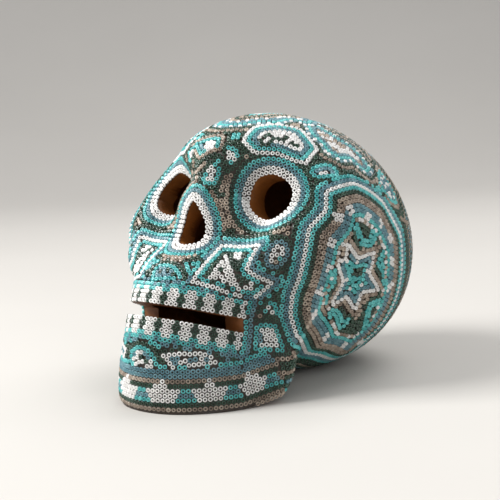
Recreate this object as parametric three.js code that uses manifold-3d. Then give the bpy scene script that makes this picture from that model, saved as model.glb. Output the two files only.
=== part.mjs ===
// A hollow clay skull, the ground for a skin of seed beads.
//
// The jaw and the head are one casting. The face looks along -Y and the crown is up.
// The skull leans back: it stands on the flat under its chin and on the low back of the head.
// Lengths are millimetres and angles are degrees.

import * as THREE from 'three';
import { mergeVertices } from 'three/addons/utils/BufferGeometryUtils.js';
import Module from 'manifold-3d';

const wasm = await Module();
wasm.setup();

// Driving dimensions

const wall = 9;

// The lumps of the form. Each is a stretched ball with radii across, along and up.
// A pitch above zero lifts its front end. A power above two squares it off from top to bottom.
const cranium = { centre: [0, -12.6, 57.6], radii: [55.6, 67.7, 56.2], pitch: -23.6, power: 2 };
const cheekbone = { centre: [42, -42.6, 67.2], radii: [12.6, 26.6, 12.4], pitch: 31, power: 2 };
const noseMound = { centre: [0, -53.1, 69.9], radii: [19, 10.1, 19.4], pitch: 30.9, power: 2 };
const muzzle = { centre: [0, -52.9, 44.7], radii: [26.4, 40.9, 10.1], pitch: 0.4, power: 2.4 };
const teethRow = { centre: [0, -58.6, 40.3], radii: [26, 43, 13.7], pitch: 15, power: 2.6 };
const jawBase = { centre: [0, -53.4, 5.6], radii: [37.7, 49.9, 24.4], pitch: -11.4, power: 3.4 };
const ramus = { centre: [35, -44.8, 34.2], radii: [11.6, 12.4, 33.5], pitch: -2, power: 2.4 };
const eyeHollow = { centre: [29.7, -74, 79.5], radii: [45.2, 32.5, 20], pitch: -6.1, power: 2 };

// How widely neighbouring lumps melt together
const blend = { face: 22, brow: 20, nose: 16, lips: 9, jawRear: 8, furrow: 7 };

// Paired lumps are mirrored through this rounded middle, so the two sides meet without a crease
const middleRound = 6;

// The jaw ends at a leaning plane behind, and its underside rises to the rear from the flat chin
const jawRear = { y: -56, z: 5, lean: 0.34 };
const jawRocker = { front: -77, rear: -44, rise: 0.22 };

// A shallow upright furrow parts the cheek from the side of the head
const furrow = { top: [51.5, -67, 66], foot: [48.5, -64, 28], radius: 8 };

// The holes, cut straight through the wall
const eye = {
  x: 27.6,
  y: -50,
  z: 82.4,
  halfWidth: 11.1,
  halfHeight: 9.3,
  droop: 16,
  yaw: 6,
  pitch: 19,
  depth: 44,
};
const nose = { x: -1, y: -69, z: 71.6, halfWidth: 7.3, below: 8, above: 10.6, pitch: 18, depth: 44 };
const mouth = { y: -96.5, z: 41, gap: 5.3, pitch: 18.6, rear: -71.5, front: 16, halfWidth: 60 };

const holeSides = 14;

// Points closer than this are one point
const joinDistance = 1e-4;

// The net that is laid over the form
const outerCell = 5;
const innerCell = 8;
const gridBox = { low: [-64, -114, -30], high: [64, 64, 126] };
const easePasses = 8;
const dropsPerPass = 3;
const ease = 0.5;

// The implicit form: negative inside, positive outside, about a length in millimetres

function lumpDistance(point, lump) {
  const [across, along, up] = lump.radii;
  const angle = THREE.MathUtils.degToRad(lump.pitch);
  const y = point[1] - lump.centre[1];
  const z = point[2] - lump.centre[2];
  const tiny = 1e-9;
  const u = Math.abs(point[0] - lump.centre[0]) / across + tiny;
  const v = Math.abs(Math.cos(angle) * y + Math.sin(angle) * z) / along + tiny;
  const w = Math.abs(Math.cos(angle) * z - Math.sin(angle) * y) / up + tiny;
  const plan = Math.hypot(u, v);
  const level = (plan ** lump.power + w ** lump.power) ** (1 / lump.power);
  const shrink = level ** (1 - lump.power);
  const planSlope = (plan ** (lump.power - 1) * shrink) / plan;
  const upSlope = (w ** (lump.power - 1) * shrink) / up;
  return (level - 1) / Math.hypot((planSlope * u) / across, (planSlope * v) / along, upSlope);
}

function meltUnion(a, b, width) {
  const overlap = Math.max(width - Math.abs(a - b), 0) / width;
  return Math.min(a, b) - (overlap * overlap * width) / 4;
}

function meltCut(a, b, width) {
  return -meltUnion(-a, b, width);
}

function furrowDistance(point) {
  const top = new THREE.Vector3(...furrow.top);
  const foot = new THREE.Vector3(...furrow.foot);
  const here = new THREE.Vector3(...point);
  const nearest = new THREE.Line3(foot, top).closestPointToPoint(here, true, new THREE.Vector3());
  return nearest.distanceTo(here) - furrow.radius;
}

function jawDistance(point, side) {
  const behind = point[1] - jawRear.y - (point[2] - jawRear.z) * jawRear.lean;
  const jaw = meltUnion(lumpDistance(point, jawBase), lumpDistance(side, ramus), blend.face);
  return meltCut(jaw, -behind / Math.hypot(1, jawRear.lean), blend.jawRear);
}

function skullDistance(point) {
  const side = [Math.hypot(point[0], middleRound), point[1], point[2]];
  let head = meltCut(lumpDistance(point, cranium), lumpDistance(side, eyeHollow), blend.brow);
  head = meltUnion(head, lumpDistance(side, cheekbone), blend.face);
  head = meltUnion(head, lumpDistance(point, muzzle), blend.face);
  head = meltUnion(head, lumpDistance(point, noseMound), blend.nose);
  head = meltUnion(head, lumpDistance(point, teethRow), blend.lips);
  head = meltUnion(head, jawDistance(point, side), blend.lips);
  return meltCut(head, furrowDistance(side), blend.furrow);
}

// Four samples at the corners of a small tetrahedron give the value and the slope
const samples = [[1, -1, -1], [-1, -1, 1], [-1, 1, -1], [1, 1, 1]];
const sampleStep = 0.02;
const longestMove = 6;

function settle(point, field) {
  const slope = new THREE.Vector3();
  let value = 0;
  samples.forEach((corner) => {
    const offset = new THREE.Vector3(...corner);
    const reading = field(point.clone().addScaledVector(offset, sampleStep).toArray());
    slope.addScaledVector(offset, reading / (4 * sampleStep));
    value += reading / 4;
  });
  const move = THREE.MathUtils.clamp(value / slope.length(), -longestMove, longestMove);
  point.addScaledVector(slope.normalize(), -move);
}

// How far a point inside still is from the hollow, where the skin is given by its knots
function hollowDistance(knots) {
  const flat = Float64Array.from(knots.flatMap((knot) => knot.toArray()));
  return (point) => {
    const [x, y, z] = point;
    let nearest = Infinity;
    for (let i = 0; i < flat.length; i += 3) {
      const reach = (flat[i] - x) ** 2 + (flat[i + 1] - y) ** 2 + (flat[i + 2] - z) ** 2;
      nearest = Math.min(nearest, reach);
    }
    const depth = Math.sqrt(nearest);
    return wall - (skullDistance(point) < 0 ? depth : -depth);
  };
}

// A net over a form: one knot in every grid cell that its skin passes through, eased and settled onto it

const cellCorners = [0, 1, 2, 3, 4, 5, 6, 7].map((bits) => [bits & 1, (bits >> 1) & 1, (bits >> 2) & 1]);
const cellEdges = cellCorners.flatMap((corner, from) => (
  [1, 2, 4].filter((bit) => !(from & bit)).map((bit) => [from, from | bit])
));

function sampledGrid(field, cell) {
  const low = new THREE.Vector3(...gridBox.low);
  const counts = gridBox.high.map((high, axis) => Math.ceil((high - gridBox.low[axis]) / cell) + 1);
  // The middle column of knots stands evenly to both sides of the mirror plane
  low.x = -((counts[0] - 1) * cell) / 2;
  const placeOf = (i, j, k) => new THREE.Vector3(i, j, k).multiplyScalar(cell).add(low);
  const slot = (i, j, k) => (i * counts[1] + j) * counts[2] + k;
  const values = new Float64Array(counts[0] * counts[1] * counts[2]);
  for (let i = 0; i < counts[0]; i += 1) {
    for (let j = 0; j < counts[1]; j += 1) {
      for (let k = 0; k < counts[2]; k += 1) {
        values[slot(i, j, k)] = field(placeOf(i, j, k).toArray());
      }
    }
  }
  return { counts, placeOf, slot, values };
}

function knotIn(grid, i, j, k) {
  const knot = new THREE.Vector3();
  let crossings = 0;
  cellEdges.forEach((edge) => {
    const [a, b] = edge.map((corner) => {
      const at = [i, j, k].map((value, axis) => value + cellCorners[corner][axis]);
      return { place: grid.placeOf(...at), value: grid.values[grid.slot(...at)] };
    });
    if ((a.value < 0) !== (b.value < 0)) {
      knot.add(a.place.lerp(b.place, a.value / (a.value - b.value)));
      crossings += 1;
    }
  });
  return crossings ? knot.divideScalar(crossings) : null;
}

function nettedMesh(field, cell) {
  const grid = sampledGrid(field, cell);
  const points = [];
  const knots = new Map();
  const cornersOfQuads = [];
  for (let i = 0; i < grid.counts[0] - 1; i += 1) {
    for (let j = 0; j < grid.counts[1] - 1; j += 1) {
      for (let k = 0; k < grid.counts[2] - 1; k += 1) {
        const knot = knotIn(grid, i, j, k);
        if (knot) {
          knots.set(grid.slot(i, j, k), points.length);
          points.push(knot);
        }
      }
    }
  }
  const knotAt = (at) => knots.get(grid.slot(...at));
  const shifted = (at, axis, amount) => at.map((value, n) => (n === axis ? value + amount : value));
  for (let i = 1; i < grid.counts[0] - 1; i += 1) {
    for (let j = 1; j < grid.counts[1] - 1; j += 1) {
      for (let k = 1; k < grid.counts[2] - 1; k += 1) {
        [0, 1, 2].forEach((axis) => {
          const at = [i, j, k];
          const here = grid.values[grid.slot(...at)] < 0;
          const next = grid.values[grid.slot(...shifted(at, axis, 1))] < 0;
          if (here === next) {
            return;
          }
          const [u, v] = [(axis + 1) % 3, (axis + 2) % 3];
          const quad = [at, shifted(at, u, -1), shifted(shifted(at, u, -1), v, -1), shifted(at, v, -1)];
          const around = quad.map(knotAt);
          cornersOfQuads.push(here ? around : around.reverse());
        });
      }
    }
  }
  return { points, quads: cornersOfQuads };
}

function neighboursOf({ points, quads }) {
  const ring = points.map(() => new Set());
  quads.forEach((quad) => quad.forEach((from, n) => {
    ring[from].add(quad[(n + 1) % 4]);
    ring[from].add(quad[(n + 3) % 4]);
  }));
  return ring.map((set) => [...set]);
}

// Each quad is parted along its shorter diagonal, or the other one where the net has that line already
function splitQuads({ points, quads }) {
  const nameOf = (line) => [...line].sort().join(' ');
  const lengthOf = ([from, to]) => points[from].distanceTo(points[to]);
  const drawn = new Set(quads.flatMap((quad) => quad.map((knot, n) => nameOf([knot, quad[(n + 1) % 4]]))));
  return quads.flatMap(([a, b, c, d]) => {
    const choices = [[a, c], [b, d]].sort((one, other) => lengthOf(one) - lengthOf(other));
    const line = choices.find((choice) => !drawn.has(nameOf(choice)));
    drawn.add(nameOf(line));
    return line[0] === a ? [a, b, c, a, c, d] : [a, b, d, b, c, d];
  });
}

function nettedForm(field, cell) {
  const mesh = nettedMesh(field, cell);
  const ring = neighboursOf(mesh);
  for (let pass = 0; pass < easePasses; pass += 1) {
    mesh.points = mesh.points.map((point, i) => {
      const mean = new THREE.Vector3();
      ring[i].forEach((j) => mean.add(mesh.points[j]));
      return point.clone().lerp(mean.divideScalar(ring[i].length), ease);
    });
    for (let drop = 0; drop < dropsPerPass; drop += 1) {
      mesh.points.forEach((point) => settle(point, field));
    }
  }
  return mesh;
}

// Joining and cutting

function solidNet(mesh) {
  const geometry = new THREE.BufferGeometry().setFromPoints(mesh.points);
  geometry.setIndex(splitQuads(mesh));
  return toSolid(geometry);
}

function toSolid(geometry) {
  const bare = geometry.clone();
  bare.deleteAttribute('normal');
  bare.deleteAttribute('uv');
  const merged = mergeVertices(bare, joinDistance);
  return new wasm.Manifold(new wasm.Mesh({
    numProp: 3,
    vertProperties: new Float32Array(merged.attributes.position.array),
    triVerts: new Uint32Array(merged.index.array),
  }));
}

function toGeometry(solid) {
  const mesh = solid.getMesh();
  const geometry = new THREE.BufferGeometry();
  geometry.setAttribute('position', new THREE.BufferAttribute(mesh.vertProperties, 3));
  geometry.setIndex(new THREE.BufferAttribute(mesh.triVerts, 1));
  geometry.computeVertexNormals();
  return geometry;
}

// A hole is an outline drawn in the plane of the face and pushed straight through the wall
function holeCutter(outline, depth, place, yaw, pitch) {
  const cutter = new THREE.ExtrudeGeometry(outline, {
    depth,
    bevelEnabled: false,
    curveSegments: holeSides,
  });
  cutter.translate(0, 0, -depth / 2);
  cutter.rotateX(Math.PI / 2);
  cutter.rotateX(-THREE.MathUtils.degToRad(pitch));
  cutter.rotateZ(THREE.MathUtils.degToRad(yaw));
  cutter.translate(...place);
  return toSolid(cutter);
}

function eyeCutter(side) {
  const outline = new THREE.Shape();
  const droop = -side * THREE.MathUtils.degToRad(eye.droop);
  outline.absellipse(0, 0, eye.halfWidth, eye.halfHeight, 0, Math.PI * 2, false, droop);
  return holeCutter(outline, eye.depth, [side * eye.x, eye.y, eye.z], side * eye.yaw, eye.pitch);
}

// The nose hole is a drop with its point up: each side swells from the point and rounds in to the foot
function noseCutter() {
  const { halfWidth, above, below } = nose;
  const widest = -below * 0.35;
  const outline = new THREE.Shape();
  outline.moveTo(0, above);
  outline.bezierCurveTo(halfWidth * 0.5, above * 0.85, halfWidth, above * 0.1, halfWidth, widest);
  outline.bezierCurveTo(halfWidth, -below * 0.85, halfWidth * 0.6, -below, 0, -below);
  outline.bezierCurveTo(-halfWidth * 0.6, -below, -halfWidth, -below * 0.85, -halfWidth, widest);
  outline.bezierCurveTo(-halfWidth, above * 0.1, -halfWidth * 0.5, above * 0.85, 0, above);
  return holeCutter(outline, nose.depth, [nose.x, nose.y, nose.z], 0, nose.pitch);
}

// The mouth is a straight saw cut between the teeth, higher at the front, that stops at the cheeks
function mouthCutter() {
  const reach = mouth.halfWidth * 2;
  const slab = new THREE.BoxGeometry(reach, reach, mouth.gap);
  slab.translate(0, reach / 2 - mouth.front, 0);
  slab.rotateX(-THREE.MathUtils.degToRad(mouth.pitch));
  slab.translate(0, mouth.y, mouth.z);
  const kept = new THREE.BoxGeometry(reach * 2, reach * 2, reach * 2);
  kept.translate(0, mouth.rear + reach, 0);
  return toSolid(slab).subtract(toSolid(kept));
}

// Everything under a level height
function groundUnder(height) {
  const size = mouth.halfWidth * 5;
  const ground = new THREE.BoxGeometry(size, size, size);
  ground.translate(0, 0, height - size / 2);
  return toSolid(ground);
}

// The wedge under the jaw, lifted by a wall's height for the hollow
function rockerUnder(height) {
  const length = jawRocker.rear - jawRocker.front;
  const side = new THREE.Shape();
  side.moveTo(0, height);
  side.lineTo(length, length * jawRocker.rise + height);
  side.lineTo(length, -wall);
  side.lineTo(0, -wall);
  const wedge = new THREE.ExtrudeGeometry(side, { depth: mouth.halfWidth * 2, bevelEnabled: false });
  wedge.translate(0, 0, -mouth.halfWidth);
  wedge.rotateX(Math.PI / 2);
  wedge.rotateZ(Math.PI / 2);
  wedge.translate(0, jawRocker.front, 0);
  return toSolid(wedge);
}

function skullForm() {
  const skin = nettedForm(skullDistance, outerCell);
  const hollow = nettedForm(hollowDistance(skin.points), innerCell);
  const outside = solidNet(skin).subtract(groundUnder(0)).subtract(rockerUnder(0));
  const inside = solidNet(hollow).subtract(groundUnder(wall)).subtract(rockerUnder(wall));
  const shell = [inside, eyeCutter(1), eyeCutter(-1), noseCutter(), mouthCutter()]
    .reduce((solid, cutter) => solid.subtract(cutter), outside);
  const geometry = toGeometry(shell);
  geometry.computeBoundingBox();
  const middle = geometry.boundingBox.getCenter(new THREE.Vector3());
  return geometry.translate(-middle.x, -middle.y, -geometry.boundingBox.min.z);
}

const clay = new THREE.MeshStandardMaterial({ color: 0x8a4a22, roughness: 0.55, metalness: 0 });
const skull = new THREE.Mesh(skullForm(), clay);
skull.name = 'skull_form';

const group = new THREE.Group();
group.add(skull);

export default group;
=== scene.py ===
import bmesh
import bpy
import math
import numpy as np
from mathutils import Matrix, Vector
from mathutils.bvhtree import BVHTree
from mathutils.kdtree import KDTree


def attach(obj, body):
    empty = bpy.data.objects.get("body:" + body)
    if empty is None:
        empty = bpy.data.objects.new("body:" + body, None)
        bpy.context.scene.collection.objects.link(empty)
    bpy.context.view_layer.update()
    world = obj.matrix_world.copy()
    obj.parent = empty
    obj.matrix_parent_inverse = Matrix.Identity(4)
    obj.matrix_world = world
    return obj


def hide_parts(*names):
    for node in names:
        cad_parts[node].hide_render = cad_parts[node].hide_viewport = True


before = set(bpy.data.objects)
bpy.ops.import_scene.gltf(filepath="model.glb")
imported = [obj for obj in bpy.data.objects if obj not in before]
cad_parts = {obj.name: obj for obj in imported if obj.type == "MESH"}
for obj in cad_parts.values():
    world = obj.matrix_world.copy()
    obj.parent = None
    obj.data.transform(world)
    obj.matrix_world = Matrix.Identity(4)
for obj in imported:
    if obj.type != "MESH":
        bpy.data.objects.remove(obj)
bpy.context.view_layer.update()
mm = 0.001      # the beadwork is worked out in millimetres, the scene is in metres
tiny = 1e-12    # keeps a length from being nothing

# where the photograph was taken from
photoView = {
    "turn": 42, "lift": 7.5, "roll": -2.5,   # degrees round the skull, above the table and of the horizon
    "distance": 520, "aim": (0, -7.9, 56.8),   # mm
    "lens": 85.36, "sensor": 36,
    "frameSide": 500, "skullMiddle": (265, 255),   # pixels of the photograph
}


def viewAxes():
    turn, lift, roll = (math.radians(photoView[key]) for key in ("turn", "lift", "roll"))
    back = Vector((math.sin(turn) * math.cos(lift), -math.cos(turn) * math.cos(lift), math.sin(lift)))
    level = Vector((math.cos(turn), math.sin(turn), 0))
    right = level * math.cos(roll) + back.cross(level) * math.sin(roll)
    return right, back.cross(right), back


def cameraSpot():
    return Vector(photoView["aim"]) + viewAxes()[2] * photoView["distance"]


def placed(name, data):
    thing = bpy.data.objects.new(name, data)
    bpy.context.scene.collection.objects.link(thing)
    return thing


def makeCamera():
    lens = bpy.data.cameras.new("photoCamera")
    lens.lens = photoView["lens"]
    lens.sensor_width = photoView["sensor"]
    camera = placed("photoCamera", lens)
    axes = Matrix(viewAxes()).transposed().to_4x4()
    camera.matrix_world = Matrix.Translation(cameraSpot() * mm) @ axes
    bpy.context.scene.camera = camera


def sightLine(pixel):
    right, up, back = viewAxes()
    half = photoView["frameSide"] / 2
    focus = photoView["lens"] / photoView["sensor"] * photoView["frameSide"]
    return (right * ((pixel[0] - half) / focus) - up * ((pixel[1] - half) / focus) - back).normalized()


# the clay form: the CAD solid made smooth between its sharp rims
clayForm = {
    "weld": 0.002,       # mm between corners of the solid that are one
    "rimAngle": 38,      # degrees, where the beaded skin ends
    "holeAcross": 24,    # mm, wider than any hole of the head
    "offWall": 0.1,      # mm from a wall, where the look across its hole starts
    "mouthTop": 55, "slitLow": 15,   # mm above the table, over the mouth and under its slit
    "noseSide": 10,      # mm to each side, inside which the middle of the nose is
    "shownLevel": 1,     # subdivisions of the clay that is shown
    "layingLevel": 2,    # and of the finer skin that the beads are laid on
    "waxSunk": 1.0,      # mm from the bead tops down to the wax
}


def isHoleWall(face, tree):
    # a face high on the head that looks at clay close by is the wall of an eye or of the nose
    middle = face.calc_center_median()
    start = middle + face.normal * clayForm["offWall"] * mm
    facing = tree.ray_cast(start, face.normal, clayForm["holeAcross"] * mm)[0]
    return middle.z > clayForm["mouthTop"] * mm and facing is not None


def skinOf(form):
    limit = math.radians(clayForm["rimAngle"])
    tree = BVHTree.FromBMesh(form)
    walls = {face for face in form.faces if isHoleWall(face, tree)}
    seen = {max(form.faces, key=lambda face: face.calc_center_median().z)}
    waiting = list(seen)
    while waiting:
        for edge in waiting.pop().edges:
            if edge.calc_face_angle() < limit:
                fresh = [face for face in edge.link_faces if face not in seen and face not in walls]
                seen.update(fresh)
                waiting.extend(fresh)
    return seen


def creasedForm():
    form = bmesh.new()
    form.from_mesh(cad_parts["skull_form"].data)
    bmesh.ops.remove_doubles(form, verts=form.verts, dist=clayForm["weld"] * mm)
    skin = skinOf(form)
    for face in form.faces:
        face.material_index = int(face in skin)
        face.smooth = True
    crease = form.edges.layers.float.new("crease_edge")
    for edge in form.edges:
        one, other = edge.link_faces
        sharp = edge.calc_face_angle() > math.radians(clayForm["rimAngle"])
        edge[crease] = float(sharp or one.material_index != other.material_index)
    mesh = bpy.data.meshes.new("creasedForm")
    form.to_mesh(mesh)
    form.free()
    return mesh


def smoothed(mesh, level, name):
    worker = placed("smoothing", mesh)
    rounding = worker.modifiers.new("rounding", "SUBSURF")
    rounding.levels = level
    rounding.render_levels = level
    view = bpy.context.evaluated_depsgraph_get()
    smooth = bpy.data.meshes.new_from_object(worker.evaluated_get(view))
    smooth.name = name
    bpy.data.objects.remove(worker)
    return smooth


def numbers(items, key, width, kind=float):
    flat = np.zeros(len(items) * width, kind)
    items.foreach_get(key, flat)
    return flat.reshape(-1, width) if width > 1 else flat


def unit(rows):
    return rows / np.maximum(np.linalg.norm(rows, axis=-1, keepdims=True), tiny)


def quadNormals(spots, quads):
    lean = np.cross(spots[quads[:, 2]] - spots[quads[:, 0]], spots[quads[:, 3]] - spots[quads[:, 1]])
    total = np.zeros_like(spots)
    for corner in range(4):
        np.add.at(total, quads[:, corner], lean)
    return unit(total)


def layingSkin(mesh):
    spots = numbers(mesh.vertices, "co", 3) / mm
    quads = numbers(mesh.loops, "vertex_index", 1, int).reshape(-1, 4)
    quads = quads[numbers(mesh.polygons, "material_index", 1, int) == 1]
    used, quads = np.unique(quads, return_inverse=True)
    quads = quads.reshape(-1, 4)
    spots = spots[used]
    tree = BVHTree.FromPolygons(spots.tolist(), quads.tolist())
    triangles = np.concatenate([quads[:, [0, 1, 2]], quads[:, [0, 2, 3]]])
    return {"spots": spots, "quads": quads, "triangles": triangles,
            "normals": quadNormals(spots, quads), "tree": tree}


def rimLoops(skin):
    quads = skin["quads"]
    sides = np.concatenate([quads[:, [i, (i + 1) % 4]] for i in range(4)])
    ordered, first, count = np.unique(np.sort(sides, 1), axis=0, return_index=True, return_counts=True)
    following = {int(a): int(b) for a, b in sides[first[count == 1]]}
    loops = []
    while following:
        start, spot = following.popitem()
        loop = [start]
        while spot != start:
            loop.append(spot)
            spot = following.pop(spot)
        loops.append(skin["spots"][loop])
    return loops


def namedRims(skin):
    rims = {}
    for loop in rimLoops(skin):
        across, depth, height = loop.mean(0)
        if height < clayForm["mouthTop"]:
            rims["slit" if height > clayForm["slitLow"] else "underside"] = loop
        elif abs(across) < clayForm["noseSide"]:
            rims["nose"] = loop
        else:
            rims["leftEye" if across > 0 else "rightEye"] = loop
    return rims


creased = creasedForm()
shownMesh = smoothed(creased, clayForm["shownLevel"], "skull_clay")
skin = layingSkin(smoothed(creased, clayForm["layingLevel"], "layingSkin"))
rims = namedRims(skin)
print("skin:", len(skin["quads"]), "faces, rims:", {name: len(loop) for name, loop in rims.items()})

# motifs: the outlines that the rows of beads follow
beadWork = {
    "pitch": 2.12, "rowPitch": 1.9,   # mm along a row and from row to row
    "reach": 90,          # mm from an outline to its last row
    "keepApart": 1.7,     # mm between the middles of beads as they are laid
    "roomForOne": 1.62,   # mm of room that takes one more bead
    "fillTurns": 3,       # times that the gaps are looked through
    "easedApart": 2.03,   # mm that crowded beads move apart to
    "easeShare": 0.3,     # of the crowding, taken away in each turn
    "easeTurns": (5, 4),  # before and after the last filling of gaps
    "starts": (0.1, 0.35, 0.6, 0.85),   # where a row may start, in beads
    "clear": 2.3,         # mm, past which a neighbour doesn't count against a start
    "lastBead": 0.15,     # of a bead that an open row may be short and still take one more
    "markJump": 3,        # marks between points of a line, where it skips along a rim
    "lead": 1000,         # mm that puts one kind of claim before the next, past any distance
    "lowest": 1.15,       # mm above the table, on the flat that the skull rests on
    "outlineStep": 1.5,   # mm between the points of an outline
    "drawIn": 2,          # per cent of the way to the skull's middle, for a pixel just off it
    "endReach": 32,       # mm round an open end where its rows stop
    "endRun": 26,         # points of the outline that give the way on there
    "starTop": (0, -0.5, 1),   # the way that a star's first point turns, upward or toward the face
    "backDepth": 0.9,     # radiuses behind its middle, where a patch has no inside
    "spotsAtOnce": 3000,  # spots measured in one go, for the memory
    "ground": "green green taupe green steel green turquoise green".split(),   # rows beyond those of a motif
}


def onSkin(spot):
    if len(spot) == 2:
        for share in range(0, 100, beadWork["drawIn"]):   # a pixel just off the skull goes to its edge
            pixel = [a + (b - a) * share / 100 for a, b in zip(spot, photoView["skullMiddle"])]
            hit = skin["tree"].ray_cast(cameraSpot(), sightLine(pixel))[0]
            if hit is not None:
                return np.array(hit)
    return np.array(skin["tree"].find_nearest(Vector(spot))[0])


def finePath(corners, closed):
    ends = corners[1:] + corners[:1] if closed else corners[1:]
    path = []
    for start, end in zip(corners, ends):
        steps = max(1, round(np.linalg.norm(end - start) / beadWork["outlineStep"]))
        path += [onSkin(start + (end - start) * i / steps) for i in range(steps)]
    return np.array(path if closed else path + [corners[-1]])


def pathSides(path, closed):
    starts = path if closed else path[:-1]
    ends = np.roll(path, -1, 0) if closed else path[1:]
    return starts, ends - starts


def nearestOnPath(path, closed, spots):
    # how far each spot is from the path, which of its sides is nearest, and the share of that side
    starts, sides = pathSides(path, closed)
    length = np.maximum((sides ** 2).sum(1), tiny)
    distance, pick, share = np.empty(len(spots)), np.empty(len(spots), int), np.empty(len(spots))
    for low in range(0, len(spots), beadWork["spotsAtOnce"]):
        high = low + beadWork["spotsAtOnce"]
        away = spots[low:high, None] - starts[None]
        part = np.clip((away * sides).sum(-1) / length, 0, 1)
        gap = np.linalg.norm(away - part[..., None] * sides, axis=-1)
        pick[low:high] = gap.argmin(1)
        rows = np.arange(len(gap))
        distance[low:high] = gap[rows, pick[low:high]]
        share[low:high] = part[rows, pick[low:high]]
    return distance, pick, share


def inwardOf(path, normals, out, middle):
    # the way to the inside of the outline, across each of its sides
    starts, sides = pathSides(path, True)
    inward = unit(np.cross(normals, sides))
    area = (np.cross(starts - middle, sides) @ out).sum()
    return inward * np.sign(area)


def insideOutline(motif, spots, pick, share):
    # seen from in front a spot has to be within the outline, and on the inner side of its nearest side
    middle, right, up, out = motif["plane"]
    outline = np.stack([(motif["path"] - middle) @ right, (motif["path"] - middle) @ up], 1)
    x = (spots - middle) @ right
    y = (spots - middle) @ up
    odd = np.zeros(len(spots), bool)
    for (x1, y1), (x2, y2) in zip(outline, np.roll(outline, -1, 0)):
        if y1 != y2:
            odd ^= ((y1 > y) != (y2 > y)) & (x < (x2 - x1) * (y - y1) / (y2 - y1) + x1)
    inward = motif["inward"]
    way = inward[pick]
    way[share <= 0] += inward[pick[share <= 0] - 1]
    way[share >= 1] += inward[(pick[share >= 1] + 1) % len(inward)]
    starts, sides = pathSides(motif["path"], True)
    nearest = starts[pick] + sides[pick] * share[:, None]
    inFront = (spots - middle) @ out > -motif["radius"] * beadWork["backDepth"]
    return odd & (((spots - nearest) * way).sum(1) > 0) & inFront


def signedDistance(motif, spots):
    distance, pick, share = nearestOnPath(motif["path"], motif["closed"], spots)
    length = np.linalg.norm(pathSides(motif["path"], motif["closed"])[1], axis=1)
    along = np.concatenate([[0], np.cumsum(length)])[pick] + share * length[pick]
    if motif["filled"]:
        distance = np.where(insideOutline(motif, spots, pick, share), -distance, distance)
    if motif["openEnds"]:
        run = beadWork["endRun"]
        for end, inner in ((0, run), (-1, -1 - run)):   # nothing is laid past an open end
            onward = unit(motif["path"][end] - motif["path"][inner])
            away = spots - motif["path"][end]
            distance[(away @ onward > 0) & (np.linalg.norm(away, axis=1) < beadWork["endReach"])] = np.inf
    return distance - motif["halfWidth"], along - motif["start"]


motifs = []


def addMotif(name, path, rows="", halo="green", claim=None, firm=0, closed=True, filled=True, within=None,
             paced=False, halfWidth=0.0, startAt=None, colourOf=None, openEnds=False, marks=()):
    # rows are the colours from the outline inward and halo those outward; claim is how many rows outward
    # are the motif's own, and firm how many of them no other motif may cut
    middle = path.mean(0)
    radius = np.linalg.norm(path - middle, axis=1).max()
    normals = np.array([skin["tree"].find_nearest(Vector(spot))[1] for spot in path])
    out = unit(normals.mean(0))
    right = unit(np.cross(out, [0, 0, 1]) + [1e-6, 0, 0])   # nudged, for an outline that faces straight up
    motif = {"name": name, "path": path, "rows": rows.split(), "halo": halo.split(), "firm": firm,
             "closed": closed, "filled": filled, "openEnds": openEnds, "within": within, "paced": paced,
             "halfWidth": halfWidth, "start": 0.0, "colourOf": colourOf, "marks": marks,
             "radius": radius, "plane": (middle, right, np.cross(out, right), out)}
    motif["claim"] = len(motif["halo"]) if claim is None else claim
    motif["inward"] = inwardOf(path, normals, out, middle) if filled else None
    if startAt is not None:
        motif["start"] = float(signedDistance(motif, onSkin(startAt)[None])[1][0])
    near = np.linalg.norm(skin["spots"] - middle, axis=1) < radius + beadWork["reach"]
    value = np.full(len(skin["spots"]), np.inf)
    value[near] = signedDistance(motif, skin["spots"][near])[0]
    motif["value"] = value
    motifs.append(motif)


def otherSide(path):
    return path * [-1, 1, 1]


def starCorners(star):
    # a star or polygon round a spot of the skin
    spot, normal = skin["tree"].find_nearest(Vector(star["at"]))[:2]
    right = unit(np.cross(normal, beadWork["starTop"]))
    up = np.cross(normal, right)
    corners = []
    for i in range(star["points"] * 2):
        turn = math.pi * i / star["points"]
        radius = star["inner"] if i % 2 else star["outer"]
        way = right * math.sin(turn) - up * math.cos(turn) * star.get("tall", 1)
        corners.append(np.array(spot) + radius * way)
    return corners


def addPatch(name, corners, both=True, mirrored=False, **facts):
    # a patch drawn by its corners, and its twin on the other side of the skull
    closed = facts.get("closed", True)
    if isinstance(corners, dict):
        corners = starCorners(corners)
    corners = [onSkin(corner) for corner in corners]
    if mirrored:
        corners += [otherSide(corner) for corner in corners[::-1]]
    path = finePath(corners, closed)
    marks = facts.pop("marks", ())
    marks = [dict(mark, places=[onSkin(place) for place in mark["places"]]) for mark in marks]
    addMotif(name, path, marks=marks, **facts)
    if both:
        twin = np.array([onSkin(spot) for spot in otherSide(path)])
        twinMarks = [dict(mark, places=[otherSide(place) for place in mark["places"]]) for mark in marks]
        if facts.get("within"):
            facts["within"] += "Twin"
        addMotif(name + "Twin", twin, marks=twinMarks, **facts)


# rims of the holes, and the teeth along the slit of the mouth
teeth = {
    "wide": 7.6, "beads": 4, "tall": 4,   # mm, beads and rows of one tooth
    "even": 1.25, "odd": 0.75,   # beads from a tooth's middle to its side, in rows by turns
    "root": 1.3,             # and in the turquoise row past its end
    "claim": 7, "firm": 5,   # rows that are the lip's own, and that nothing may cut
    "endReach": 7.6,         # mm that the column beside the slit passes each lip
    "corner": 3,             # points of the rim that round each corner of the slit
    "lipShare": 0.5,         # of the slit's half height, past which a point is on a lip
    "middles": {"upperLip": (172, 297.4), "lowerLip": (185.2, 331.8)},   # pixels of one tooth of each row
}


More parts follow.
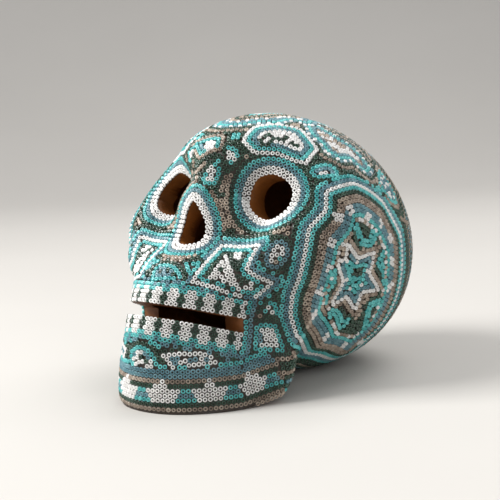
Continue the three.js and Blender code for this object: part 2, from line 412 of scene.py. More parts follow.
def lipPaths(loop):
    middle = loop.mean(0)
    out = np.linalg.svd(loop - middle)[2][2]
    out = out * np.sign(out[2])
    height = (loop - middle) @ out
    least = np.abs(height).max() * teeth["lipShare"]
    paths = {}
    for name, keep in (("upperLip", height > least), ("lowerLip", height < -least)):
        start = int(np.flatnonzero(keep & ~np.roll(keep, 1))[0])
        run = np.roll(loop, -start, 0)[teeth["corner"]:keep.sum() - teeth["corner"]]
        paths[name] = run if run[0, 0] < 0 else run[::-1]
    for name, end in (("slitEndRight", 0), ("slitEndLeft", -1)):
        top, low = paths["upperLip"][end], paths["lowerLip"][end]
        reach = out * teeth["endReach"]
        paths[name] = finePath([onSkin(top + reach), top, low, onSkin(low - reach)], False)
    return paths


def toothColour(row, along):
    place = along / teeth["wide"]
    off = abs(place - round(place)) * teeth["beads"]     # in beads from the tooth's middle
    if row < teeth["tall"] and off < (teeth["odd"] if row % 2 else teeth["even"]):
        return "white"
    if row < teeth["tall"] - 1:
        return "green"
    return "turquoise" if row < teeth["tall"] or row == teeth["tall"] and off < teeth["root"] else "steel"


jawBands = {
    "rows": "taupe green turquoise steel turquoise green taupe steel steel turquoise".split(),
    "pyramid": {2: 5, 3: 6, 4: 7, 5: 3, 6: 1},           # white beads in each row of a pyramid
    "pyramidEvery": 19.3, "pyramidMiddle": (210, 389),   # mm, pixel of one of them
    "rear": -34.5, "lift": 1.1,                          # mm, where the rows end and start
}


def jawBandColour(row, along):
    place = along / jawBands["pyramidEvery"]
    off = abs(place - round(place)) * jawBands["pyramidEvery"] / beadWork["pitch"]
    if row in jawBands["pyramid"] and off < jawBands["pyramid"][row] / 2:
        return "white"
    return jawBands["rows"][row]


holeRims = {   # the rows round each hole, and how many of them nothing may cut
    "eye": {"halo": "white white steel turquoise green taupe", "firm": 4},
    "nose": {"halo": "white white steel turquoise taupe", "firm": 4},
    "slitEnd": {"halo": "turquoise steel green", "firm": 2, "closed": False},
}


def addRims():
    for name, kind in (("leftEye", "eye"), ("rightEye", "eye"), ("nose", "nose")):
        addMotif(name, rims[name], filled=False, **holeRims[kind])
    lips = lipPaths(rims["slit"])
    for name in ("upperLip", "lowerLip"):
        addMotif(name, lips[name], claim=teeth["claim"], firm=teeth["firm"], closed=False, filled=False,
                 paced=True, openEnds=True, startAt=teeth["middles"][name], colourOf=toothColour)
    for name in ("slitEndLeft", "slitEndRight"):
        addMotif(name, lips[name], filled=False, **holeRims["slitEnd"])
    jaw = rims["underside"]
    jaw = np.roll(jaw, -int(jaw[:, 1].argmax()), 0)
    jaw = jaw[jaw[:, 1] < jawBands["rear"]]
    count = len(jawBands["rows"])
    addMotif("jawEdge", jaw, rows="taupe", claim=count, firm=count, closed=False, filled=False, paced=True,
             openEnds=True, halfWidth=jawBands["lift"], startAt=jawBands["pyramidMiddle"],
             colourOf=jawBandColour)


addRims()

# the face, drawn over the photograph in its pixels
facePatches = {
    "cheekStar": {
        "corners": [(188.6, 282.9), (220, 243.6), (262.1, 242.1), (248.6, 269.3), (276.4, 282.1),
                    (254.3, 300.7), (236.4, 297.9), (203.6, 286.4)],
        "rows": "white turquoise green", "halo": "steel turquoise green",
        "marks": [{"places": [(237.1, 256), (248.6, 287.1)], "reach": 2.3, "colour": "white"}],
    },
    "cheekTriangle": {
        "corners": [(227, 253.5), (245.5, 296.5), (201, 286.5)],
        "rows": "white", "within": "cheekStar",
        "marks": [{"places": [(222, 269.3), (212.9, 282.1), (228, 286)], "reach": 1.05, "colour": "green"}],
    },
    "cheekOval": {
        "corners": [(277.9, 237.9), (287, 241), (291, 252.1), (286.4, 263.6), (276.4, 270.7), (266.4, 267.9),
                    (263.6, 257.9), (267.9, 245)],
        "rows": "steel turquoise white",
        "marks": [{"places": [(278, 249), (277, 254), (275, 261)], "reach": 2.3, "colour": "white"},
                  {"places": [(278, 250), (276, 260)], "reach": 1.2, "colour": "taupe"}],
    },
    "smallTriangle": {
        "corners": [(276.4, 295), (277.9, 315), (259.3, 315)],
        "rows": "turquoise white",
        "marks": [{"places": [(271.5, 307), (272, 311)], "reach": 1.3, "colour": "white"}],
    },
    "trapezoid": {
        "corners": [(255.7, 322.9), (277.1, 322.9), (288, 352), (252.9, 352)],
        "rows": "turquoise steel white", "halo": "green taupe",
        "marks": [{"places": [(265.5, 333), (270, 333), (265.5, 338), (271, 338), (265, 343), (270, 343),
                              (275, 344)], "reach": 1.9, "colour": "white"}],
    },
    "chinLens": {
        "corners": [(161.4, 355), (178.6, 351.4), (201.4, 351.4), (212.9, 355), (220, 360),
                    (218.6, 364.3), (171.4, 370)],
        "rows": "white steel",
        "marks": [{"places": [(179, 364), (184, 361), (193, 362.5), (202, 360), (208, 363)], "reach": 1.15,
                   "colour": "white"}],
    },
    "chinLine": {
        "corners": [(149, 342), (160, 346.5), (173, 347.5)], "closed": False, "filled": False,
        "rows": "turquoise", "halfWidth": 0.95,
    },
    "templeDome": {
        "corners": [(308.3, 171.7), (313.3, 165), (325, 162.5), (335, 165.8), (340.8, 175), (326.7, 178.3),
                    (315, 178.3)],
        "rows": "turquoise steel white",
        "marks": [{"places": [(320, 173), (325, 171), (330, 172)], "reach": 1.3, "colour": "white"}],
    },
    "browTriangle": {
        "corners": [(226.7, 141.7), (241.7, 152.5), (231.7, 166.7), (226.7, 161.7)],
        "rows": "turquoise white",
        "marks": [{"places": [(230.5, 152), (231, 157)], "reach": 1.7, "colour": "white"}],
    },
    "browBit": {
        "corners": [(230.8, 133.3), (241.7, 132.5), (240, 138.3), (231.7, 140.8)], "rows": "turquoise",
    },
    "foreheadHexagon": {
        "corners": [(240, 140.3), (253.3, 125.8), (276.7, 123.3), (301.7, 128.3), (320, 149.2),
                    (306.7, 165.8), (293.3, 161.7), (276.7, 155), (253.3, 155)],
        "rows": "white turquoise steel white",
        "marks": [{"places": [(261, 140), (264, 136.5), (269, 135.5), (273, 138), (269, 142.5),
                              (263.5, 143.5), (280, 138), (284.5, 141), (288, 137.5), (292, 141.5),
                              (297, 146)],
                   "reach": 1.15, "colour": "green"}],
    },
    "cheekBit": {
        "corners": [(183.6, 262.9), (200.7, 260.7), (203.6, 262.1), (190.7, 276.4), (186.4, 272.1)],
        "rows": "turquoise steel",
    },
}
midlinePatches = {
    "noseDome": {
        "corners": [(150, 281), (153, 269), (159, 264), (167, 263), (176, 266), (182, 273), (182, 281)],
        "rows": "turquoise steel steel",
        "marks": [{"places": [(160, 273), (167, 271), (172.5, 275)], "reach": 1.15, "colour": "green"}],
    },
    "chinDome": {
        "corners": [(128.6, 368.6), (130, 350), (137.1, 344.3), (147.1, 347.1), (155.7, 357.1),
                    (159.3, 368.6)],
        "rows": "turquoise steel white",
        "marks": [{"places": [(139, 356), (136, 362), (142, 361), (147, 364)], "reach": 2.6,
                   "colour": "white"},
                  {"places": [(135.7, 361.4), (139.3, 357.5), (145, 362.9)], "reach": 1.0,
                   "colour": "green"}],
    },
    "browDiamond": {
        "corners": [(194.2, 144.2), (208.3, 138), (220.8, 135.8), (220, 145.8), (199.2, 155.8)],
        "rows": "turquoise steel white", "halo": "taupe green",
        "marks": [{"places": [(207.5, 145), (210, 144)], "reach": 2.4, "colour": "white"}],
    },
    "browLeaf": {
        "corners": [(219.2, 157.5), (221.7, 171.7), (215, 185), (202.5, 185), (200.8, 176.7), (208.3, 166.7)],
        "rows": "turquoise steel white",
        "marks": [{"places": [(210, 173), (211.5, 170), (209.5, 177)], "reach": 1.8, "colour": "white"}],
    },
    "backStar": {
        "corners": {"at": (0, 77, 62), "points": 8, "outer": 24, "inner": 16},
        "rows": "white turquoise green taupe steel turquoise white", "halo": "steel turquoise green",
    },
    "crownBackHexagon": {
        "corners": {"at": (0, 55, 97), "points": 6, "outer": 13, "inner": 11.5},
        "rows": "white turquoise steel white", "halo": "green taupe",
    },
    "napeDiamond": {
        "corners": {"at": (0, 70, 23), "points": 4, "outer": 11, "inner": 8.5},
        "rows": "turquoise steel white",
    },
}
# the crown: half an outline, the other half is its mirror image
crownPatch = {
    "corners": [(0, -22, 111), (9, -19, 111), (13, -12, 111), (19, -6, 110), (18, 2, 110), (24, 9, 108),
                (19, 17, 109), (22, 26, 106), (14, 32, 107), (9, 40, 105), (0, 41, 106)],
    "rows": "white/steel turquoise steel white/steel taupe green taupe green turquoise white",
    "halo": "green taupe green taupe",
}
sidePatches = {
    "sideMedallion": {
        "corners": [(324, 190), (352, 181), (383, 200), (401, 233), (403, 262), (396, 300), (385, 330),
                    (371, 347), (352, 355), (332, 360), (318, 356), (304, 354), (295, 338), (288, 316),
                    (290, 296), (297, 278), (303, 251), (307, 227), (324, 209)],
        "rows": "white turquoise green taupe taupe steel steel turquoise white/taupe green",
        "halo": "steel turquoise green",
        "marks": [{"places": [(339, 217), (350.7, 208.6), (368.6, 216.4), (382, 223.6), (390.7, 240),
                              (392, 261.4), (390.7, 287), (332, 244), (329, 268), (320, 293),
                              (315, 315.7), (326.4, 337), (345, 345), (360.7, 342)],
                   "reach": 2.3, "colour": "white"}],
    },
    "sideStar": {
        "corners": [(346.4, 238.6), (359, 256), (376.4, 250), (371, 273), (382, 291.4), (363, 294),
                    (355, 314.3), (346, 299), (325.7, 311.4), (342, 283), (335, 261.4), (345, 258)],
        "rows": "white steel turquoise", "within": "sideMedallion", "halo": "taupe taupe",
        "marks": [{"places": [(358, 272)], "reach": 2.6, "colour": "green"},
                  {"places": [(358.7, 261), (367, 272.7), (361.5, 286), (349, 290), (346, 280), (348, 262)],
                   "reach": 1.1, "colour": "white"}],
    },
    "crownWave": {
        "corners": [(305, 120), (315, 123), (327, 130), (340, 138), (352, 145), (360, 153), (367, 162),
                    (375, 172), (370, 177), (360, 170), (352, 162), (343, 163), (335, 158), (325, 153),
                    (318, 143), (307, 133), (302, 123)],
        "rows": "white/steel turquoise steel white/taupe", "halo": "green taupe green",
    },
    "crownLeaf": {
        "corners": [(378, 168), (386, 178), (394, 192), (398, 206), (391, 202), (384, 191), (377, 180)],
        "rows": "turquoise white/steel", "halo": "taupe green",
    },
    "crownBit": {"corners": [(369, 187), (383, 186), (384.5, 192.5), (376, 192)], "rows": "turquoise"},
    "rearOval": {
        "corners": {"at": (32, 65, 60), "points": 6, "outer": 8, "inner": 7, "tall": 1.5},
        "rows": "turquoise steel white", "halo": "green taupe",
    },
    "rearDiamond": {
        "corners": {"at": (26, 57, 86), "points": 4, "outer": 9, "inner": 6}, "rows": "turquoise white",
    },
    "rearLowDiamond": {
        "corners": {"at": (33, 62, 30), "points": 4, "outer": 9, "inner": 6}, "rows": "turquoise white",
    },
}
# hooks of two rows of turquoise between the points of the side star
curlLook = {"rows": "turquoise", "halfWidth": 1.9, "within": "sideMedallion", "closed": False,
            "filled": False}
curls = [
    [(335, 233), (338.6, 237), (337, 246), (338, 254)],
    [(356.4, 225.7), (362, 243), (372, 243.5), (376.4, 235), (370.7, 233)],
    [(383.6, 254), (379.5, 263), (385, 271.4), (385, 282)],
    [(365, 327), (368.5, 311), (371, 305), (380, 301.5), (383, 308)],
    [(327, 319), (334, 311.5), (338, 315), (342, 327), (347, 321)],
    [(334, 273), (333, 285), (325, 292), (325, 304)],
]
for name, facts in {**facePatches, **sidePatches}.items():
    addPatch(name, **facts)
for order, corners in enumerate(curls):
    addPatch(f"curl{order}", corners, **curlLook)
for name, facts in midlinePatches.items():
    addPatch(name, both=False, **facts)
addPatch("crownPatch", both=False, mirrored=True, **crownPatch)


def owners():
    # which outline's rows each spot of the skin belongs to: the firm rows of the rims come first, then the
    # inside of the patches, then the rows that either claims, and what is left goes to the nearest
    lead, rowPitch = beadWork["lead"], beadWork["rowPitch"]
    beyond = np.array([motif["value"] - motif["claim"] * rowPitch for motif in motifs])
    score = beyond.copy()
    for i, motif in enumerate(motifs):
        score[i, beyond[i] < 0] -= lead
        score[i, motif["value"] < motif["firm"] * rowPitch] -= lead * (2 if motif["firm"] else 1)
        if motif["within"]:
            score[i] = np.inf
    owner = score.argmin(0)
    places = {motif["name"]: i for i, motif in enumerate(motifs)}
    for name in sorted({motif["within"] for motif in motifs if motif["within"]}):
        around = motifs[places[name]]
        inner = [i for i, motif in enumerate(motifs) if motif["within"] == name]
        rank = np.array([np.where(motifs[i]["value"] < 0, -lead, 0) + beyond[i] for i in inner])
        room = (owner == places[name]) & (around["value"] < -(len(around["rows"]) - 1) * rowPitch)
        taken = room & (rank.min(0) < 0)
        owner[taken] = np.array(inner)[rank.argmin(0)][taken]
    return owner, beyond


owner, beyondClaim = owners()
unclaimed = beyondClaim[owner, np.arange(len(owner))] > 0
print("motifs:", len(motifs), "share that none claims:", round(float(unclaimed.mean()), 3))


def crossings(value, triangles, level):
    # points where the level line crosses the edges of the skin, joined by each triangle
    above = value[triangles] >= level
    cut = triangles[above.any(1) & ~above.all(1)]
    above = value[cut] >= level
    links = []
    for i in range(3):
        j, k = (i + 1) % 3, (i + 2) % 3
        lone = (above[:, i] != above[:, j]) & (above[:, i] != above[:, k])
        pair = np.stack([cut[lone][:, [i, j]], cut[lone][:, [i, k]]], 1)
        links.append(np.sort(pair, 2))
    return np.concatenate(links)


def levelLines(motif, index, level):
    owned = owner[skin["triangles"]] == index
    triangles = skin["triangles"][owned.any(1)]
    return tracedLines(motif["value"], triangles, level)


def seamLines():
    # the lines midway between neighbouring motifs, where neither claims the skin
    triangles = skin["triangles"][unclaimed[skin["triangles"]].all(1)]
    corners = np.sort(owner[triangles], 1)
    mixed = corners[:, 0] != corners[:, 2]
    triangles, corners = triangles[mixed], corners[mixed]
    lines = []
    for low, high in np.unique(corners[:, [0, 2]], axis=0).tolist():
        part = triangles[(corners[:, 0] == low) & (corners[:, 2] == high)]
        lines += tracedLines(beyondClaim[low] - beyondClaim[high], part, 0.0)
    return lines


def tracedLines(value, triangles, level):
    # the crossings of neighbouring triangles strung together, with whether each string closes on itself
    triangles = triangles[np.isfinite(value[triangles]).all(1)]
    links = crossings(value, triangles, level)
    if not len(links):
        return []
    keys, ends = np.unique(links.reshape(-1, 2), axis=0, return_inverse=True)
    ends = ends.reshape(-1, 2)
    low, high = value[keys[:, 0]], value[keys[:, 1]]
    share = ((level - low) / (high - low))[:, None]
    points = skin["spots"][keys[:, 0]] * (1 - share) + skin["spots"][keys[:, 1]] * share
    partners = [[] for key in keys]
    for a, b in ends.tolist():
        partners[a].append(b)
        partners[b].append(a)
    lines = []
    seen = [False] * len(keys)
    loose = [i for i in range(len(keys)) if len(partners[i]) == 1]
    for start in loose + list(range(len(keys))):
        if seen[start]:
            continue
        line = [start]
        seen[start] = True
        spot = start
        while True:
            fresh = [other for other in partners[spot] if not seen[other]]
            if not fresh:
                break
            spot = fresh[0]
            seen[spot] = True
            line.append(spot)
        closed = len(line) > 3 and start in partners[spot] and len(partners[start]) == 2
        if len(line) > 1:
            lines.append((points[line], closed))
    return lines


def evenSpots(line, closed, start):
    # spots a bead's pitch apart along a line; a closed one is shared out evenly
    path = np.vstack([line, line[:1]]) if closed else line
    step = np.linalg.norm(np.diff(path, axis=0), axis=1)
    length = step.sum()
    if closed:
        count = max(1, round(length / beadWork["pitch"]))
        places = (np.arange(count) + start) * length / count
    else:
        count = int(length / beadWork["pitch"] + beadWork["lastBead"])
        spare = length - count * beadWork["pitch"]
        places = np.arange(count + 1) * beadWork["pitch"] + spare * start
    run = np.concatenate([[0], np.cumsum(step)])
    return np.stack([np.interp(places, run, path[:, k]) for k in range(3)], 1)


class Laid:
    # the beads laid so far, in cells of space for quick distances
    cellSide = 2.2   # mm, within which no bead is missed
    farOff = 9.0     # mm, the answer where none is near

    def __init__(self):
        self.spots = []
        self.facts = []
        self.cells = {}

    def cell(self, spot):
        return tuple(int(math.floor(c / self.cellSide)) for c in spot)

    def nearest(self, spot):
        x, y, z = self.cell(spot)
        least = self.farOff
        for i in (x - 1, x, x + 1):
            for j in (y - 1, y, y + 1):
                for k in (z - 1, z, z + 1):
                    for other in self.cells.get((i, j, k), ()):
                        least = min(least, math.dist(spot, other))
        return least

    def add(self, spot, facts):
        spot = tuple(float(c) for c in spot)
        self.spots.append(spot)
        self.facts.append(facts)
        self.cells.setdefault(self.cell(spot), []).append(spot)


def pacedPlaces(motif, row, line, closed):
    # beads over the same marks of the rim from row to row, half a bead off in every other row
    along = signedDistance(motif, line)[1]
    step = teeth["wide"] / teeth["beads"] if "Lip" in motif["name"] else beadWork["pitch"]
    marks = along / step - 0.5 * (row % 2)
    spots = []
    for i in range(len(line) - (0 if closed else 1)):
        j = (i + 1) % len(line)
        low, high = marks[i], marks[j]
        if abs(high - low) > beadWork["markJump"]:
            continue
        for mark in range(math.ceil(min(low, high)), math.floor(max(low, high)) + 1):
            if low != high:
                spots.append(line[i] + (line[j] - line[i]) * (mark - low) / (high - low))
    return spots


seamIndex = -1   # stands for the seams, which are no motif's


def rowsToLay():
    # firm rows first, then the motifs' own rows, the seams between them and the rows beyond any claim;
    # in each turn the rows nearest their outline, and of those the longest
    rows = []
    for index, motif in enumerate(motifs):
        mine = motif["value"][(owner == index) & np.isfinite(motif["value"])]
        if not len(mine):
            continue
        first = math.floor(mine.min() / beadWork["rowPitch"])
        last = math.floor(mine.max() / beadWork["rowPitch"])
        for row in range(first, last + 1):
            turn = 3 if row >= motif["claim"] else 0 if row < motif["firm"] else 1
            nearRim = row if row >= 0 else -1 - row
            for line, closed in levelLines(motif, index, (row + 0.5) * beadWork["rowPitch"]):
                rows.append(((turn, nearRim, -len(line), len(rows)), index, row, line, closed))
    for line, closed in seamLines():
        rows.append(((2, 0, -len(line), len(rows)), seamIndex, 0, line, closed))
    return [row[1:] for row in sorted(rows, key=lambda row: row[0])]


def clearestSpots(laid, line, closed):
    # of a few starts along the row, the one that stands clearest of the beads before it
    def clearness(spots):
        return sum(min(laid.nearest(spot), beadWork["clear"]) for spot in spots) / max(len(spots), 1)

    return max([evenSpots(line, closed, start) for start in beadWork["starts"]], key=clearness)


def layRows(laid):
    for index, row, line, closed in rowsToLay():
        if index != seamIndex and motifs[index]["paced"] and row < motifs[index]["claim"]:
            spots = pacedPlaces(motifs[index], row, line, closed)
        else:
            spots = clearestSpots(laid, line, closed)
        for spot in spots:
            if laid.nearest(spot) >= beadWork["keepApart"]:
                laid.add(spot, (index, row))


def treeOf(spots):
    tree = KDTree(len(spots))
    for i, spot in enumerate(spots):
        tree.insert(spot, i)
    tree.balance()
    return tree


def gapPlaces():
    # places where a bead may fill a gap, with their owner and row
    quads = skin["quads"]
    owned = np.concatenate([owner, owner[quads[:, 0]]])
    values = np.array([motif["value"] for motif in motifs])
    middle = values[owner[quads[:, 0]][:, None], quads].mean(1)
    value = np.concatenate([values[owner, np.arange(len(owner))], middle])
    row = np.floor(np.where(np.isfinite(value), value, 0) / beadWork["rowPitch"]).astype(int)
    return np.concatenate([skin["spots"], skin["spots"][quads].mean(1)]), owned, row


def fillGaps(laid):
    # single beads wherever one more has room
    spots, owned, rows = gapPlaces()
    for turn in range(beadWork["fillTurns"]):
        tree = treeOf(laid.spots)
        room = np.array([tree.find(spot)[2] for spot in spots.tolist()])
        wide = np.flatnonzero(room > beadWork["roomForOne"])
        for i in wide[np.argsort(-room[wide], kind="stable")].tolist():
            if laid.nearest(spots[i]) > beadWork["roomForOne"]:
                laid.add(spots[i], (int(owned[i]), int(rows[i])))


def eased(spots, turns):
    # crowded beads move apart along the skin
    apart = beadWork["easedApart"]
    for turn in range(turns):
        tree = treeOf(spots.tolist())
        moved = spots.copy()
        for i, spot in enumerate(spots.tolist()):
            for other, j, away in tree.find_range(spot, apart):
                if j != i and away > tiny:
                    moved[i] += (spots[i] - spots[j]) * (apart - away) / away * beadWork["easeShare"]
        spots = np.array([skin["tree"].find_nearest(Vector(spot))[0] for spot in moved])
    return spots


def layBeads():
    laid = Laid()
    layRows(laid)
    inRows = len(laid.spots)
    fillGaps(laid)
    print("beads in rows:", inRows, "in gaps:", len(laid.spots) - inRows)
    firstTurns, lastTurns = beadWork["easeTurns"]
    tight = Laid()
    for spot, facts in zip(eased(np.array(laid.spots), firstTurns), laid.facts):
        tight.add(spot, facts)
    fillGaps(tight)
    print("more in gaps:", len(tight.spots) - len(laid.spots))
    return eased(np.array(tight.spots), lastTurns), np.array(tight.facts)


def rowColour(motif, row, along):
    if row >= motif["claim"]:
        return beadWork["ground"][(row - motif["claim"]) % len(beadWork["ground"])]
    if motif["colourOf"]:
        return motif["colourOf"](max(row, 0), along)
    names = motif["halo"] if row >= 0 else motif["rows"]
    name = names[min(row if row >= 0 else -1 - row, len(names) - 1)] if names else "green"
    choice = name.split("/")
    return choice[round(along / beadWork["pitch"]) % len(choice)]


def beadColours(spots, facts):
    colours = np.full(len(spots), "taupe", dtype="<U12")   # the seams stay taupe
    for index, motif in enumerate(motifs):
        mine = np.flatnonzero(facts[:, 0] == index)
        if len(mine):
            for i, along in zip(mine, signedDistance(motif, spots[mine])[1]):
                colours[i] = rowColour(motif, int(facts[i, 1]), along)
    for motif in motifs:
        for mark in motif["marks"]:
            for place in mark["places"]:
                colours[np.linalg.norm(spots - place, axis=1) < mark["reach"]] = mark["colour"]
    return colours


beadSpots, beadFacts = layBeads()
colours = beadColours(beadSpots, beadFacts)
kept = beadSpots[:, 2] > beadWork["lowest"]
beadSpots, colours = beadSpots[kept], colours[kept]
print("beads:", len(beadSpots), {str(c): int((colours == c).sum()) for c in np.unique(colours)})

# one bead: a ring that stands on the wax with its hole outward
bead = {
    "across": 2.06, "hole": 0.86, "tall": 1.36,   # mm
    "around": 8, "profile": 4,                    # corners round the ring and round its thickness
    "sunk": 0.45,                     # mm from the skin down to the bead's middle
    "lean": 7, "leanSpread": 0.5,     # degrees, and the share of it that a bead leans as a rule
    "sizeSpread": 0.035, "sizeMost": 0.08,   # share that the size varies by, as a rule and at most
    "skinCorners": 4, "cornerSoft": 0.3,     # corners of the skin that turn a bead, and mm
    "seed": 100,
}


def beadRing():
    middle = (bead["across"] + bead["hole"]) / 4
    thick = (bead["across"] - bead["hole"]) / 4
    points = []
    for i in range(bead["around"]):
        turn = 2 * math.pi * i / bead["around"]
        for j in range(bead["profile"]):
            roll = 2 * math.pi * j / bead["profile"]
            out = middle + thick * math.cos(roll)
            points.append((out * math.cos(turn), out * math.sin(turn), bead["tall"] / 2 * math.sin(roll)))
    faces = []
    for i in range(bead["around"]):
        for j in range(bead["profile"]):
            a, b = i * bead["profile"], (i + 1) % bead["around"] * bead["profile"]
            k = (j + 1) % bead["profile"]
            faces.append((a + j, b + j, b + k, a + k))
    return np.array(points), np.array(faces)


def skinNormalsAt(spots):
    tree = treeOf(skin["spots"].tolist())
    normals = []
    for spot in spots.tolist():
        near = tree.find_n(spot, bead["skinCorners"])
        normals.append(sum(skin["normals"][i] / (away + bead["cornerSoft"]) for where, i, away in near))
    return unit(np.array(normals))


def beadMesh(name, spots, normals, chance):
    ring, faces = beadRing()
    count = len(spots)
    lean = math.tan(math.radians(bead["lean"])) * bead["leanSpread"]
    up = unit(normals + chance.normal(0, lean, (count, 3)))
    across = unit(np.cross(up, unit(chance.normal(0, 1, (count, 3)))))
    size = 1 + chance.normal(0, bead["sizeSpread"], count).clip(-bead["sizeMost"], bead["sizeMost"])
    axes = np.stack([across, np.cross(up, across), up], 1)
    points = (ring[None] @ axes) * size[:, None, None] + (spots - normals * bead["sunk"])[:, None]
    quads = (faces[None] + (np.arange(count) * len(ring))[:, None, None]).reshape(-1, 4)
    mesh = bpy.data.meshes.new(name)
    mesh.vertices.add(count * len(ring))
    mesh.vertices.foreach_set("co", (points * mm).ravel())
    mesh.loops.add(quads.size)
    mesh.loops.foreach_set("vertex_index", quads.ravel())
    mesh.polygons.add(len(quads))
    mesh.polygons.foreach_set("loop_start", np.arange(0, quads.size, 4))
    mesh.polygons.foreach_set("use_smooth", np.ones(len(quads), bool))
    tone = mesh.attributes.new("beadTone", "FLOAT", "POINT")
    tone.data.foreach_set("value", np.repeat(chance.random(count), len(ring)))
    mesh.update()
    mesh.validate()
    return mesh


class Wire:
    # a socket in a finish; adding to it or multiplying it makes a Math node
    def __init__(self, finish, socket):
        self.finish = finish
        self.socket = socket

    def math(self, operation, first, second):
        return self.finish.node("ShaderNodeMath", {"operation": operation}, {0: first, 1: second})

    def __add__(self, other):
        return self.math("ADD", self, other)

    def __mul__(self, other):
        return self.math("MULTIPLY", self, other)

    __radd__ = __add__
    __rmul__ = __mul__


class Finish:
    def __init__(self, name):
        self.material = bpy.data.materials.new(name)
        self.material.use_nodes = True
        self.tree = self.material.node_tree
        self.tree.nodes.clear()
        self.output = self.tree.nodes.new("ShaderNodeOutputMaterial")

    def node(self, kind, settings, inputs, output=0):
        node = self.tree.nodes.new(kind)
        for key, value in settings.items():
            setattr(node, key, value)
        for key, value in inputs.items():
            if isinstance(value, Wire):
                self.tree.links.new(value.socket, node.inputs[key])
            else:
                node.inputs[key].default_value = value
        return Wire(self, node.outputs[output])

    def mixed(self, share, first, second):
        return self.node("ShaderNodeMix", {"data_type": "RGBA"}, {0: share, 6: first, 7: second}, 2)

    def noise(self, scale, detail=3):
        place = self.node("ShaderNodeTexCoord", {}, {}, "Object")
        return self.node("ShaderNodeTexNoise", {}, {"Vector": place, "Scale": scale, "Detail": detail}, "Fac")

    def surface(self, shader):
        self.tree.links.new(shader.socket, self.output.inputs["Surface"])
        return self.material


def colour(hexText):
    # an sRGB colour as Blender's linear values
    parts = [int(hexText[i:i + 2], 16) / 255 for i in (0, 2, 4)]
    return tuple(c / 12.92 if c < 0.04045 else ((c + 0.055) / 1.055) ** 2.4 for c in parts) + (1.0,)


beadFinishes = {
    "white": {"piece": "bead_white", "light": "fbf9f6", "dark": "dcd9d5", "rough": 0.28, "coat": 0.6},
    "turquoise": {"piece": "bead_turquoise", "light": "74d2cf", "dark": "2f9c9b", "rough": 0.3, "coat": 0.5},
    "steel": {"piece": "bead_steel_blue", "light": "7aa3ab", "dark": "48747f", "rough": 0.36, "coat": 0.4},
    "green": {"piece": "bead_dark_green", "light": "3a5a48", "dark": "16301f", "rough": 0.22, "coat": 0.7},
    "taupe": {"piece": "bead_taupe", "light": "c4b4a2", "dark": "796859", "rough": 0.26, "coat": 0.6},
}
beadGlass = {
    "cloudScale": 900,   # noise cells in a metre
    "ownTone": 0.75,     # share of a bead's own tone in its colour, against the cloud's
    "dulling": 0.12,     # how much the roughness varies
    "coatRough": 0.12,
}


def beadFinish(facts):
    finish = Finish(facts["piece"])
    tone = finish.node("ShaderNodeAttribute", {"attribute_name": "beadTone"}, {}, "Fac")
    cloud = finish.noise(beadGlass["cloudScale"])
    share = tone * beadGlass["ownTone"] + cloud * (1 - beadGlass["ownTone"])
    paint = finish.mixed(share, colour(facts["dark"]), colour(facts["light"]))
    rough = cloud * beadGlass["dulling"] + (facts["rough"] - beadGlass["dulling"] / 2)
    shader = finish.node("ShaderNodeBsdfPrincipled", {}, {
        "Base Color": paint, "Roughness": rough, "Coat Weight": facts["coat"],
        "Coat Roughness": beadGlass["coatRough"]})
    return finish.surface(shader)


def makeBeads():
    normals = skinNormalsAt(beadSpots)
    for order, (name, facts) in enumerate(beadFinishes.items()):
        material = beadFinish(facts)
        for half, keep in (("left", beadSpots[:, 0] >= 0), ("right", beadSpots[:, 0] < 0)):
            mine = (colours == name) & keep
            chance = np.random.default_rng(bead["seed"] + order * 2 + (half == "left"))
            mesh = beadMesh(f"{facts['piece']}_{half}", beadSpots[mine], normals[mine], chance)
            mesh.materials.append(material)
            piece = placed(mesh.name, mesh)
            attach(piece, "root")
            print(piece.name, int(mine.sum()), "beads,", len(mesh.polygons) * 2, "triangles")


makeBeads()

clayFinishes = {
    "clay": {"light": "a5601a", "dark": "532a08", "grain": "2f1806", "rough": 0.5},
    # the wax under the beads: partly its own dark colour and partly painted shade of the gaps between the
    # beads and inside their holes
    "waxAndGapShade": {"light": "3d2c1c", "dark": "22190f", "grain": "15100a", "rough": 0.42},   # under the beads
}
clayGrain = {
    "cloudScale": 60, "cloudDetail": 5,     # noise cells in a metre
    "grainScale": 420, "grainDetail": 4,
    "grainShare": 0.5,                      # of the grain's colour where it is strongest
    "bump": 0.35, "bumpDepth": 0.6,         # strength, mm
    "dulling": 0.2,                         # how much the cloud adds to the roughness
}


def clayFinish(name, facts):
    finish = Finish(name)
    cloud = finish.noise(clayGrain["cloudScale"], clayGrain["cloudDetail"])
    grain = finish.noise(clayGrain["grainScale"], clayGrain["grainDetail"])
    tint = finish.mixed(cloud, colour(facts["dark"]), colour(facts["light"]))
    paint = finish.mixed(grain * clayGrain["grainShare"], tint, colour(facts["grain"]))
    bump = finish.node("ShaderNodeBump", {}, {
        "Strength": clayGrain["bump"], "Distance": clayGrain["bumpDepth"] * mm, "Height": grain})
    shader = finish.node("ShaderNodeBsdfPrincipled", {}, {
        "Base Color": paint, "Roughness": cloud * clayGrain["dulling"] + facts["rough"], "Normal": bump})
    return finish.surface(shader)


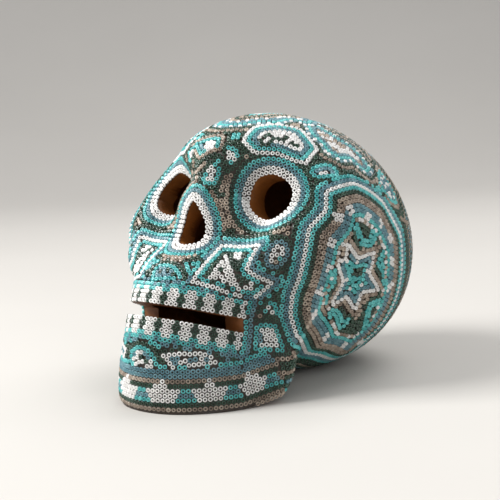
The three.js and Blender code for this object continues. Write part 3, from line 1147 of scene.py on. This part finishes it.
def makeClay():
    # the beaded skin of the clay is waxed and lies under the bead tops; the wax's dark colour is partly its
    # own and partly painted shade of the gaps between the beads
    quads = numbers(shownMesh.loops, "vertex_index", 1, int).reshape(-1, 4)
    waxed = numbers(shownMesh.polygons, "material_index", 1, int) == 1
    spots = numbers(shownMesh.vertices, "co", 3)
    normals = quadNormals(spots, quads[waxed])
    depth = np.zeros(len(spots))
    depth[np.unique(quads[waxed])] = clayForm["waxSunk"] * mm
    depth[spots[:, 2] < beadWork["lowest"] * mm] = 0
    shownMesh.vertices.foreach_set("co", (spots - normals * depth[:, None]).ravel())
    shownMesh.materials.clear()
    for name, facts in clayFinishes.items():
        shownMesh.materials.append(clayFinish(name, facts))
    shownMesh.polygons.foreach_set("material_index", waxed.astype(int))
    shownMesh.set_sharp_from_angle(angle=math.radians(clayForm["rimAngle"]))
    clay = placed("skull_clay", shownMesh)
    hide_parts("skull_form")
    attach(clay, "root")
    print("clay:", len(shownMesh.polygons), "faces,", int(waxed.sum()), "of them waxed")


makeClay()

studio = {
    "floorColour": "d0ccc6", "floorShade": "c7c3bd", "floorClouds": 3, "floorRough": 0.7,
    "wide": 7.0, "near": 2.5, "far": 0.9, "bend": 1.2, "tall": 3.0,   # metres of the pale sheet
    "bendSteps": 24,
    "lampsToward": (0, 0, 0.05),
    "lamps": [   # where, size in metres, watts
        {"at": (-0.55, -0.75, 0.95), "size": 0.6, "power": 20},
        {"at": (0.95, -0.55, 0.6), "size": 0.9, "power": 3.5},
        {"at": (0.1, 0.6, 1.1), "size": 0.8, "power": 8},
    ],
    "sky": (0.86, 0.88, 0.92, 1), "skyPower": 0.45,
}


def makeFloor():
    # a pale sheet that lies under the skull and bends up far behind it
    turn = math.radians(photoView["turn"])
    away, across = np.array([-math.sin(turn), math.cos(turn)]), np.array([math.cos(turn), math.sin(turn)])
    steps = [math.pi / 2 * i / studio["bendSteps"] for i in range(studio["bendSteps"] + 1)]
    profile = [(-studio["near"], 0)]
    profile += [(studio["far"] + studio["bend"] * math.sin(turned), studio["bend"] * (1 - math.cos(turned)))
                for turned in steps]
    profile.append((studio["far"] + studio["bend"], studio["tall"]))
    points = [(*(away * out + across * side), high) for out, high in profile
              for side in (-studio["wide"] / 2, studio["wide"] / 2)]
    faces = [(i, i + 1, i + 3, i + 2) for i in range(0, len(points) - 2, 2)]
    mesh = bpy.data.meshes.new("floor")
    mesh.from_pydata(points, [], faces)
    mesh.polygons.foreach_set("use_smooth", np.ones(len(faces), bool))
    finish = Finish("floor")
    cloud = finish.noise(studio["floorClouds"])
    paint = finish.mixed(cloud, colour(studio["floorColour"]), colour(studio["floorShade"]))
    shader = finish.node("ShaderNodeBsdfPrincipled", {}, {
        "Base Color": paint, "Roughness": studio["floorRough"]})
    mesh.materials.append(finish.surface(shader))
    placed("floor", mesh)


def makeStudio():
    makeFloor()
    for i, facts in enumerate(studio["lamps"]):
        lamp = bpy.data.lights.new(f"lamp{i}", "AREA")
        lamp.energy = facts["power"]
        lamp.size = facts["size"]
        holder = placed(lamp.name, lamp)
        holder.location = facts["at"]
        toward = Vector(studio["lampsToward"]) - Vector(facts["at"])
        holder.rotation_euler = toward.to_track_quat("-Z", "Y").to_euler()
    world = bpy.data.worlds.new("studio")
    world.use_nodes = True
    world.node_tree.nodes["Background"].inputs["Color"].default_value = studio["sky"]
    world.node_tree.nodes["Background"].inputs["Strength"].default_value = studio["skyPower"]
    bpy.context.scene.world = world
    bpy.context.scene.view_settings.view_transform = "Standard"
    print("studio:", len(studio["lamps"]), "lamps")


makeStudio()
makeCamera()
